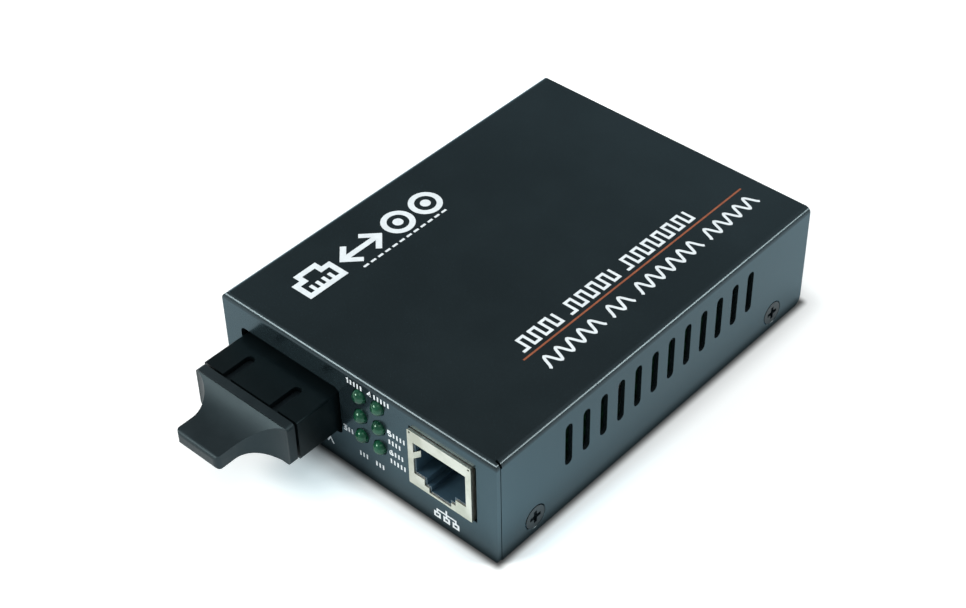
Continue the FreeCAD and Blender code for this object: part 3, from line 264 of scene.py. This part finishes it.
PAINT_DARK = (0.0108, 0.0112, 0.0112, 1.0)
PAINT_LIGHT = (0.0140, 0.0145, 0.0145, 1.0)
PAINT_FLECK = (0.050, 0.068, 0.078, 1.0)
PAINT_CAST = (0.70, 0.91, 1.0, 1.0)
CLOUD_SCALE = 38.0
FLECK_SCALE = 5200.0
PEEL_SCALE = 2600.0
PEEL_DEPTH = 0.02 * MM


def dress(material, *names):
    """Give CAD nodes one material."""
    for name in names:
        nodes[name].material_slots[0].material = material


case_paint, shader, place = new_material("case_paint")
cloud = place.noise(CLOUD_SCALE, detail=3.0, roughness=0.6)
fleck = place.noise(FLECK_SCALE, detail=1.0).step(0.66, 0.78)
tone = cloud.step(0.35, 0.7).blend(PAINT_DARK, PAINT_LIGHT)
wire(shader, Base_Color=(fleck * 0.45).blend(tone, PAINT_FLECK), Roughness=0.20 + cloud * 0.08)
wire(shader, Normal=place.bump(place.noise(PEEL_SCALE), PEEL_DEPTH, 0.35))
wire(shader, Specular_IOR_Level=0.38, Coat_Weight=1.0, Coat_IOR=1.1, Coat_Tint=PAINT_CAST)
dress(case_paint, "bottom_tray")

# The standoffs and board screws, of turned steel with a bright plate, and the lamps' wires, of drawn steel
# with the same plate, all faintly mottled.


def mottled(name, dark, light, cell, rough, grain, depth, **others):
    """A finish whose tone and gloss drift between two values, over a fine bumpy grain.

    A cloud of cells of one size, in metres, mixes the dark tone and the light one and moves the roughness
    from its low value to its high one. A second, finer noise lifts the surface by the depth. The others are
    inputs of the shader that are the same all over."""
    material, shader, place = new_material(name)
    cloud = place.noise(1.0 / cell, detail=3.0, roughness=0.6)
    fine = place.noise(1.0 / grain)
    wire(shader, Base_Color=(cloud.step(0.32, 0.68) * 0.7 + fine * 0.3).blend(dark, light))
    wire(shader, Roughness=rough[0] + cloud * (rough[1] - rough[0]))
    wire(shader, Normal=place.bump(fine, depth, 0.5), **others)
    return material


plated_steel = mottled(
    "plated_steel", dark=(0.50, 0.50, 0.48, 1.0), light=(0.72, 0.72, 0.69, 1.0), cell=4.0 * MM,
    rough=(0.22, 0.40), grain=0.20 * MM, depth=0.010 * MM, Metallic=1.0,
)
dress(plated_steel, "board_standoffs", "board_screws", "lamp_leads")

# The circuit board: glass-fibre laminate under green solder mask. Copper tracks show as slightly paler,
# raised lines beneath the mask, in runs along and across the board.

MASK_DARK = (0.004, 0.036, 0.016, 1.0)
MASK_LIGHT = (0.010, 0.085, 0.036, 1.0)
TRACK_PITCH = 1.8 * MM
TRACK_DEPTH = 0.03 * MM
ZONE_SCALE = 90.0
WEAVE_SCALE = 900.0

board_laminate, shader, place = new_material("board_laminate")
zones = place.node(
    "ShaderNodeTexVoronoi", {"distance": "CHEBYCHEV"}, output=1, Vector=place, Scale=ZONE_SCALE,
)
turn = zones.node("ShaderNodeSeparateColor", _0=zones).step(0.45, 0.55)
along, across = ((place.axis(number) * (1.0 / TRACK_PITCH)).fraction() for number in (0, 1))
run = along * turn + across * (1.0 - turn)
track = run.step(0.30, 0.36) * (1.0 - run.step(0.62, 0.68))
weave = place.noise(WEAVE_SCALE)
wire(shader, Base_Color=(track * 0.8 + weave * 0.2).blend(MASK_DARK, MASK_LIGHT))
wire(shader, Roughness=0.22 + weave * 0.2, Normal=place.bump(track, TRACK_DEPTH, 0.6))
dress(board_laminate, "circuit_board", "module_board")

# The optical transceiver: a black glass-filled moulding around two barrels that carry ceramic alignment
# sleeves, with the laser and detector cans behind them.

module_plastic = mottled(
    "module_plastic", dark=(0.0010, 0.0022, 0.0028, 1.0), light=(0.0020, 0.0040, 0.0048, 1.0), cell=9.0 * MM,
    rough=(0.34, 0.50), grain=0.22 * MM, depth=0.012 * MM,
    Specular_IOR_Level=0.22, Specular_Tint=(0.60, 0.92, 1.0, 1.0),
)
zirconia = mottled(
    "zirconia", dark=(0.74, 0.72, 0.68, 1.0), light=(0.88, 0.87, 0.83, 1.0), cell=2.0 * MM,
    rough=(0.10, 0.20), grain=0.10 * MM, depth=0.004 * MM,
)
nickel_metal = mottled(
    "nickel_metal", dark=(0.46, 0.44, 0.40, 1.0), light=(0.66, 0.64, 0.59, 1.0), cell=3.0 * MM,
    rough=(0.16, 0.34), grain=0.15 * MM, depth=0.006 * MM, Metallic=1.0,
)
gilt_metal = mottled(
    "gilt_metal", dark=(0.62, 0.40, 0.12, 1.0), light=(0.86, 0.62, 0.24, 1.0), cell=2.0 * MM,
    rough=(0.14, 0.30), grain=0.10 * MM, depth=0.004 * MM, Metallic=1.0,
)
dress(module_plastic, "transceiver_housing", "module_base", "optical_barrels")
dress(zirconia, "ferrule_sleeves")
dress(nickel_metal, "laser_can", "detector_can")
dress(gilt_metal, "module_pins")

# The lamps: six green epoxy domes in a black moulded holder. The epoxy is tinted and hazy, and glossy as
# cast, with a faint flow ripple.

LAMP_DARK = (0.003, 0.034, 0.017, 1.0)
LAMP_LIGHT = (0.008, 0.078, 0.038, 1.0)
LAMP_TINT = (0.60, 1.0, 0.78, 1.0)
HAZE_SCALE = 420.0

lamp_green, shader, place = new_material("lamp_green")
haze = place.noise(HAZE_SCALE, detail=3.0)
wire(shader, Base_Color=haze.step(0.3, 0.7).blend(LAMP_DARK, LAMP_LIGHT), Roughness=0.10 + haze * 0.10)
wire(shader, Normal=place.bump(haze, 0.010 * MM, 0.25))
wire(shader, Transmission_Weight=0.15, Specular_IOR_Level=0.48, Specular_Tint=LAMP_TINT)
dress(lamp_green, *(f"lamp_{number}" for number in range(1, 7)))
part_plastic = mottled(
    "part_plastic", dark=(0.010, 0.010, 0.011, 1.0), light=(0.020, 0.020, 0.021, 1.0), cell=4.0 * MM,
    rough=(0.45, 0.62), grain=0.12 * MM, depth=0.010 * MM,
)
dress(part_plastic, "lamp_holder")

# The network socket: a folded shield of tinned sheet around a dark moulded insert, with gilt spring wires.
# The tin is warm and satin, with the rolling grain across the front and faint dull stains.

TIN_BRIGHT = (0.60, 0.575, 0.50, 1.0)
TIN_DULL = (0.46, 0.45, 0.37, 1.0)
GRAIN_STRETCH = (1.0, 14.0, 14.0)
GRAIN_SCALE = 420.0
STAIN_SCALE = 260.0

shield_metal, shader, place = new_material("shield_metal")
grain = place.stretched(GRAIN_STRETCH).noise(GRAIN_SCALE, detail=3.0, roughness=0.65)
stain = place.noise(STAIN_SCALE, detail=3.0)
wire(shader, Base_Color=stain.step(0.35, 0.7).blend(TIN_BRIGHT, TIN_DULL), Metallic=1.0)
wire(shader, Roughness=0.30 + grain * 0.16, Normal=place.bump(grain, 0.010 * MM, 0.35))
socket_plastic = mottled(
    "socket_plastic", dark=(0.022, 0.048, 0.072, 1.0), light=(0.032, 0.068, 0.098, 1.0), cell=5.0 * MM,
    rough=(0.28, 0.42), grain=0.18 * MM, depth=0.008 * MM,
)
dress(shield_metal, "socket_shield")
dress(socket_plastic, "socket_insert")
dress(gilt_metal, "socket_contacts")

# The parts on the board: black moulded packages, a crystal in a nickel can, a grey ferrite coil, and
# capacitors in shrunk sleeves that leave their aluminium tops bare.

SLEEVE_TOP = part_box("storage_capacitors")[1][2]
SLEEVE_END = SLEEVE_TOP - 0.6 * MM
SLEEVE_EDGE = 0.1 * MM
SLEEVE_COLOUR = (0.010, 0.013, 0.030, 1.0)
ALUMINIUM = grey(0.62)
SHRINK_STRETCH = (1.0, 1.0, 0.2)
SHRINK_SCALE = 900.0

ferrite = mottled(
    "ferrite", dark=(0.055, 0.055, 0.058, 1.0), light=(0.095, 0.094, 0.098, 1.0), cell=2.0 * MM,
    rough=(0.55, 0.75), grain=0.10 * MM, depth=0.020 * MM,
)
capacitor_sleeve, shader, place = new_material("capacitor_sleeve")
cap = place.axis(2).step(SLEEVE_END, SLEEVE_END + SLEEVE_EDGE)
shrink = place.stretched(SHRINK_STRETCH).noise(SHRINK_SCALE)
wire(shader, Base_Color=cap.blend(SLEEVE_COLOUR, ALUMINIUM), Metallic=cap)
wire(shader, Roughness=0.24 + shrink * 0.14, Normal=place.bump(shrink, 0.020 * MM, 0.4))
dress(part_plastic, "network_transformer", "converter_chip", "line_chip", "voltage_regulator")
dress(nickel_metal, "crystal")
dress(ferrite, "power_inductor")
dress(capacitor_sleeve, "storage_capacitors")

# The power inlet: a black moulded housing on the board's rear edge, with a nickel-plated centre pin and
# spring leaf.

dress(part_plastic, "power_inlet")
dress(nickel_metal, "inlet_pin", "inlet_spring")

# The top cover: the second folded sheet, with the top, both slotted sides and the front flange, in the tray's
# paint. Four blackened countersunk screws hold it to the tray.

dress(case_paint, "top_cover")
black_screw = mottled(
    "black_screw", dark=(0.004, 0.007, 0.009, 1.0), light=(0.010, 0.014, 0.017, 1.0), cell=1.2 * MM,
    rough=(0.28, 0.42), grain=0.10 * MM, depth=0.010 * MM,
    Specular_IOR_Level=0.42, Specular_Tint=(0.55, 0.88, 1.0, 1.0),
)
dress(black_screw, "case_screws")

# The large mark on the top: screen-printed white ink that stands a little proud of the paint. It reads along
# the case, 39 mm long and 7 mm high: a socket's outline with four pins, a two-way arrow and a pair of rings
# for the two fibres, over a fine broken rule.

INK_PROUD = 0.012 * MM
INK_SUNK = 0.010 * MM
INK_COAT = 0.004 * MM
MITRE_LEAST = 0.6
TOP_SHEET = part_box("top_cover")[1][2]
TOP_FACE = ((0, 1, 0), (-1, 0, 0), (0, 0, 1))
MARK_PLACE = (-20.6 * MM, -37.2 * MM, TOP_SHEET)
MARK_WIDTH = 1.25 * MM

# The mark's drawing, in millimetres from its start: along the case to the rear, then across it to the left.
MARK_MIDDLE = 3.55
SOCKET_OUTLINE = (
    (0.6, 4.7), (2.7, 4.7), (2.7, 6.5), (7.3, 6.5), (7.3, 4.7), (9.4, 4.7), (9.4, 0.6), (0.6, 0.6),
)
PIN_PLACES = (2.6, 4.2, 5.8, 7.4)
PIN_SPAN = (1.1, 2.9)
PIN_WIDTH = 0.8 * MM
SHAFT_SPAN = (12.7, 21.3)
ARROW_TIPS = ((12.0, 2.9), (22.0, -2.9))
BARB_RISE = 2.85
RING_PLACES = (27.4, 35.3)
RING_RADIUS = 2.9 * MM
DOT_RADIUS = 1.1 * MM
DASH_COUNT = 12
DASH_START = 13.2
DASH_PITCH = 2.0
DASH_LENGTH = 1.3
DASH_DROP = 1.0
DASH_WIDTH = 0.5 * MM


def unit(rows):
    """Each row divided by its length."""
    return rows / np.linalg.norm(rows, axis=1, keepdims=True)


def stroke(points, width, closed=False, over=0.0):
    """A ribbon of ink along a path of points, as corners and faces; one that lies over others stands higher.

    At each point a four-cornered section stands across the mean direction of the two runs that meet there.
    Its half width is divided by the cosine of half the bend, which is kept from getting too small at a sharp
    bend, so that the ribbon keeps its width."""
    path = np.asarray(points, float)
    ahead = np.roll(path, -1, axis=0) - path
    if not closed:
        ahead[-1] = ahead[-2]
    behind = np.roll(ahead, 1, axis=0)
    if not closed:
        behind[0] = ahead[0]
    ahead, behind = unit(ahead), unit(behind)
    mean = unit(ahead + behind)
    half = width / 2 / np.maximum(MITRE_LEAST, (mean * ahead).sum(axis=1, keepdims=True))
    side = np.stack([-mean[:, 1], mean[:, 0]], axis=1) * half
    flat = np.stack([path + side, path - side, path - side, path + side], axis=1)
    proud = INK_PROUD + over
    lift = np.broadcast_to([-INK_SUNK, -INK_SUNK, proud, proud], flat.shape[:2])
    corners = np.concatenate([flat, lift[..., None]], axis=2).reshape(-1, 3)
    count = len(path)
    start = np.arange(count if closed else count - 1)[:, None] * 4
    turn = np.arange(4)[None, :]
    after = (turn + 1) % 4
    farther = (start + 4) % (4 * count)
    faces = np.stack([start + turn, farther + turn, farther + after, start + after], axis=2)
    faces = faces.reshape(-1, 4)[:, ::-1]
    if not closed:
        last = 4 * (count - 1)
        faces = np.concatenate([faces, [[0, 1, 2, 3]], [[last + 3, last + 2, last + 1, last]]])
    return corners, faces


def ink_piece(name, strokes, origin, face, ink):
    """One printed piece: strokes drawn in a plane whose right, up and outward ways are the face's."""
    corners, faces, count = [], [], 0
    for points, quads in strokes:
        corners.append(points @ np.asarray(face, float) + origin)
        faces.append(quads + count)
        count += len(points)
    mesh = bpy.data.meshes.new(name)
    mesh.from_pydata(np.concatenate(corners).tolist(), [], np.concatenate(faces).tolist())
    mesh.update()
    piece = bpy.data.objects.new(name, mesh)
    bpy.context.scene.collection.objects.link(piece)
    mesh.materials.append(ink)
    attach(piece, "converter")


def millimetres(rows):
    """Points given in millimetres, as metres."""
    return np.asarray(rows, float) * MM


def ring(centre, radius, width, count):
    """A closed stroke through so many points, evenly spaced around a circle."""
    angle = np.linspace(0.0, 2 * np.pi, count, endpoint=False)
    points = np.stack([centre[0] + radius * np.cos(angle), centre[1] + radius * np.sin(angle)], axis=1)
    return stroke(points, width, closed=True)


white_ink = mottled(
    "white_ink", dark=(0.64, 0.69, 0.72, 1.0), light=(0.74, 0.80, 0.83, 1.0), cell=1.5 * MM,
    rough=(0.42, 0.58), grain=0.10 * MM, depth=0.006 * MM,
)
mark = [stroke(millimetres(SOCKET_OUTLINE), MARK_WIDTH, closed=True)]
for x in PIN_PLACES:
    mark.append(stroke(millimetres([(x, y) for y in PIN_SPAN]), PIN_WIDTH, over=INK_COAT))
mark.append(stroke(millimetres([(x, MARK_MIDDLE) for x in SHAFT_SPAN]), MARK_WIDTH, over=INK_COAT))
for tip, barb in ARROW_TIPS:
    bent = [(tip + barb, MARK_MIDDLE - BARB_RISE), (tip, MARK_MIDDLE), (tip + barb, MARK_MIDDLE + BARB_RISE)]
    mark.append(stroke(millimetres(bent), MARK_WIDTH))
for x in RING_PLACES:
    centre = millimetres((x, MARK_MIDDLE))
    mark.append(ring(centre, RING_RADIUS, MARK_WIDTH, 40))
    mark.append(ring(centre, DOT_RADIUS / 2, DOT_RADIUS, 16))
for number in range(DASH_COUNT):
    start = DASH_START + number * DASH_PITCH
    dash = millimetres([(start, -DASH_DROP), (start + DASH_LENGTH, -DASH_DROP)])
    mark.append(stroke(dash, DASH_WIDTH))
ink_piece("print_top_mark", mark, MARK_PLACE, TOP_FACE, white_ink)

# The orange stripe: one thin line of screen-printed ink, along the case and near its right side, between the
# two signal lines.

STRIPE_PLACE = 20.8 * MM
STRIPE_SPAN = (-23.6 * MM, 42.9 * MM)
STRIPE_WIDTH = 0.40 * MM

orange_ink = mottled(
    "orange_ink", dark=(0.22, 0.055, 0.020, 1.0), light=(0.31, 0.085, 0.032, 1.0), cell=1.5 * MM,
    rough=(0.42, 0.58), grain=0.10 * MM, depth=0.006 * MM,
)
stripe = [stroke([(0.0, 0.0), (STRIPE_SPAN[1] - STRIPE_SPAN[0], 0.0)], STRIPE_WIDTH)]
ink_piece("print_top_stripe", stripe, (STRIPE_PLACE, STRIPE_SPAN[0], TOP_SHEET), TOP_FACE, orange_ink)

# The two signal lines in white ink: square pulses on one side of the stripe and smooth waves on the other.
# Each is printed in short bursts, given as their starts in millimetres and their steps or periods.

LINE_START = -22.0 * MM
LINE_WIDTH = 0.62 * MM
PULSE_PLACE = 19.4 * MM
PULSE_HEIGHT = 3.0 * MM
PULSE_STEP = 1.6 * MM
PULSE_BURSTS = ((0, 7), (13.6, 9), (30.4, 13))
WAVE_PLACE = 26.0 * MM
WAVE_BURSTS = ((0, 5), (18.2, 2), (26.8, 6), (48.2, 5))
WAVE_POINTS = 14


def pulses(start, count):
    """A square wave of so many steps, which starts low and jumps to the other height after each step."""
    step = np.arange(count + 1)
    along = start + np.repeat(step, 2)[1:] * PULSE_STEP
    high = np.repeat(step % 2, 2)[:-1]
    return stroke(np.stack([along, high * PULSE_HEIGHT], axis=1), LINE_WIDTH)


def waves(start, count):
    """A sine wave of so many periods, each two steps long: half the height times one less the cosine."""
    phase = np.linspace(0, 2 * np.pi * count, WAVE_POINTS * count + 1)
    along = start + phase / np.pi * PULSE_STEP
    return stroke(np.stack([along, PULSE_HEIGHT / 2 * (1 - np.cos(phase))], axis=1), LINE_WIDTH)


inner = [pulses(start * MM, count) for start, count in PULSE_BURSTS]
ink_piece("print_top_pulses", inner, (PULSE_PLACE, LINE_START, TOP_SHEET), TOP_FACE, white_ink)
outer = [waves(start * MM, count) for start, count in WAVE_BURSTS]
ink_piece("print_top_waves", outer, (WAVE_PLACE, LINE_START, TOP_SHEET), TOP_FACE, white_ink)

# The front print, in the same white: plain numbers and short rows of bars around the lamps, a chevron under
# the receptacle, and a small tree of three boxes under the network socket.

FRONT_SHEET = -47.0 * MM
FRONT_FACE = ((1, 0, 0), (0, 0, 1), (0, -1, 0))
FRONT_WIDTH = 0.37 * MM

# The front's drawing, in millimetres from the middle of the case's front edge: to the right, then up. Each
# numeral has its left end and foot, and each row of bars its first bar, foot and count.
FRONT_HEIGHT = 1.15
BAR_PITCH = 0.86
LABELS = ((1, -1.7, 22.42), (4, 3.8, 22.42), (3, -3.4, 9.2), (5, 8.5, 15.4), (6, 8.7, 10.6))
BAR_ROWS = (
    (-0.5, 22.42, 4), (5.5, 22.42, 5), (-2.0, 9.2, 2), (9.9, 15.4, 4), (8.7, 13.2, 4), (10.1, 10.6, 3),
    (8.9, 8.3, 5), (0.7, 4.9, 3), (4.9, 4.9, 3),
)
NUMERALS = {
    1: ((0.10, 0.75), (0.38, 1.0), (0.38, 0.0)),
    3: ((0.0, 1.0), (0.62, 1.0), (0.28, 0.58), (0.60, 0.45), (0.62, 0.14), (0.44, 0.0), (0.0, 0.04)),
    4: ((0.50, 0.0), (0.50, 1.0), (0.0, 0.30), (0.72, 0.30)),
    5: ((0.62, 1.0), (0.04, 1.0), (0.0, 0.56), (0.40, 0.60), (0.62, 0.42), (0.60, 0.14), (0.42, 0.0),
        (0.0, 0.04)),
    6: ((0.52, 1.0), (0.14, 0.72), (0.0, 0.36), (0.02, 0.10), (0.20, 0.0), (0.46, 0.0), (0.62, 0.16),
        (0.58, 0.44), (0.38, 0.56), (0.06, 0.46)),
}
CHEVRON = ((-8.3, 2.9), (-7.5, 4.2), (-6.7, 2.9))
BOX_PLACES = (19.6, 21.9, 24.2)
BOX_WIDTH = 1.2
BOX_SPAN = (2.0, 3.0)
BOX_STROKE = 0.44 * MM
BRANCH_SPAN = (3.1, 3.9)
STEM_TOP = 5.0
BRANCH_STROKE = 0.38 * MM


def numeral(value, left, low):
    """A plain numeral as one stroke, from its left and lowest point."""
    return stroke(np.asarray(NUMERALS[value]) * FRONT_HEIGHT * MM + millimetres((left, low)), FRONT_WIDTH)


def bars(left, low, count):
    """A row of upright bars, each about as wide as the gap to the next."""
    places = left + BAR_PITCH * np.arange(count)
    return [stroke(millimetres([(x, low), (x, low + FRONT_HEIGHT)]), FRONT_WIDTH) for x in places]


front = [numeral(*label) for label in LABELS]
front += [bar for row in BAR_ROWS for bar in bars(*row)]
front.append(stroke(millimetres(CHEVRON), FRONT_WIDTH))
low, high = BOX_SPAN
for left in BOX_PLACES:
    box = [(left, high), (left + BOX_WIDTH, high), (left + BOX_WIDTH, low), (left, low)]
    front.append(stroke(millimetres(box), BOX_STROKE, closed=True))
foot, top = BRANCH_SPAN
first, middle, last = (left + BOX_WIDTH / 2 for left in BOX_PLACES)
branch = millimetres([(first, foot), (first, top), (last, top), (last, foot)])
front.append(stroke(branch, BRANCH_STROKE, over=INK_COAT))
front.append(stroke(millimetres([(middle, foot), (middle, STEM_TOP)]), BRANCH_STROKE, over=2 * INK_COAT))
ink_piece("print_front_marks", front, (0.0, FRONT_SHEET, 0.0), FRONT_FACE, white_ink)

# The dust plug: one soft black moulding, pushed into both bores. Its skin has a dull bloom and picks up
# light along the flange.

plug_rubber = mottled(
    "plug_rubber", dark=(0.0060, 0.0088, 0.0102, 1.0), light=(0.0110, 0.0150, 0.0172, 1.0), cell=6.0 * MM,
    rough=(0.40, 0.56), grain=0.16 * MM, depth=0.014 * MM,
    Specular_IOR_Level=0.34, Specular_Tint=(0.62, 0.90, 1.0, 1.0),
)
dress(plug_rubber, "dust_plug")
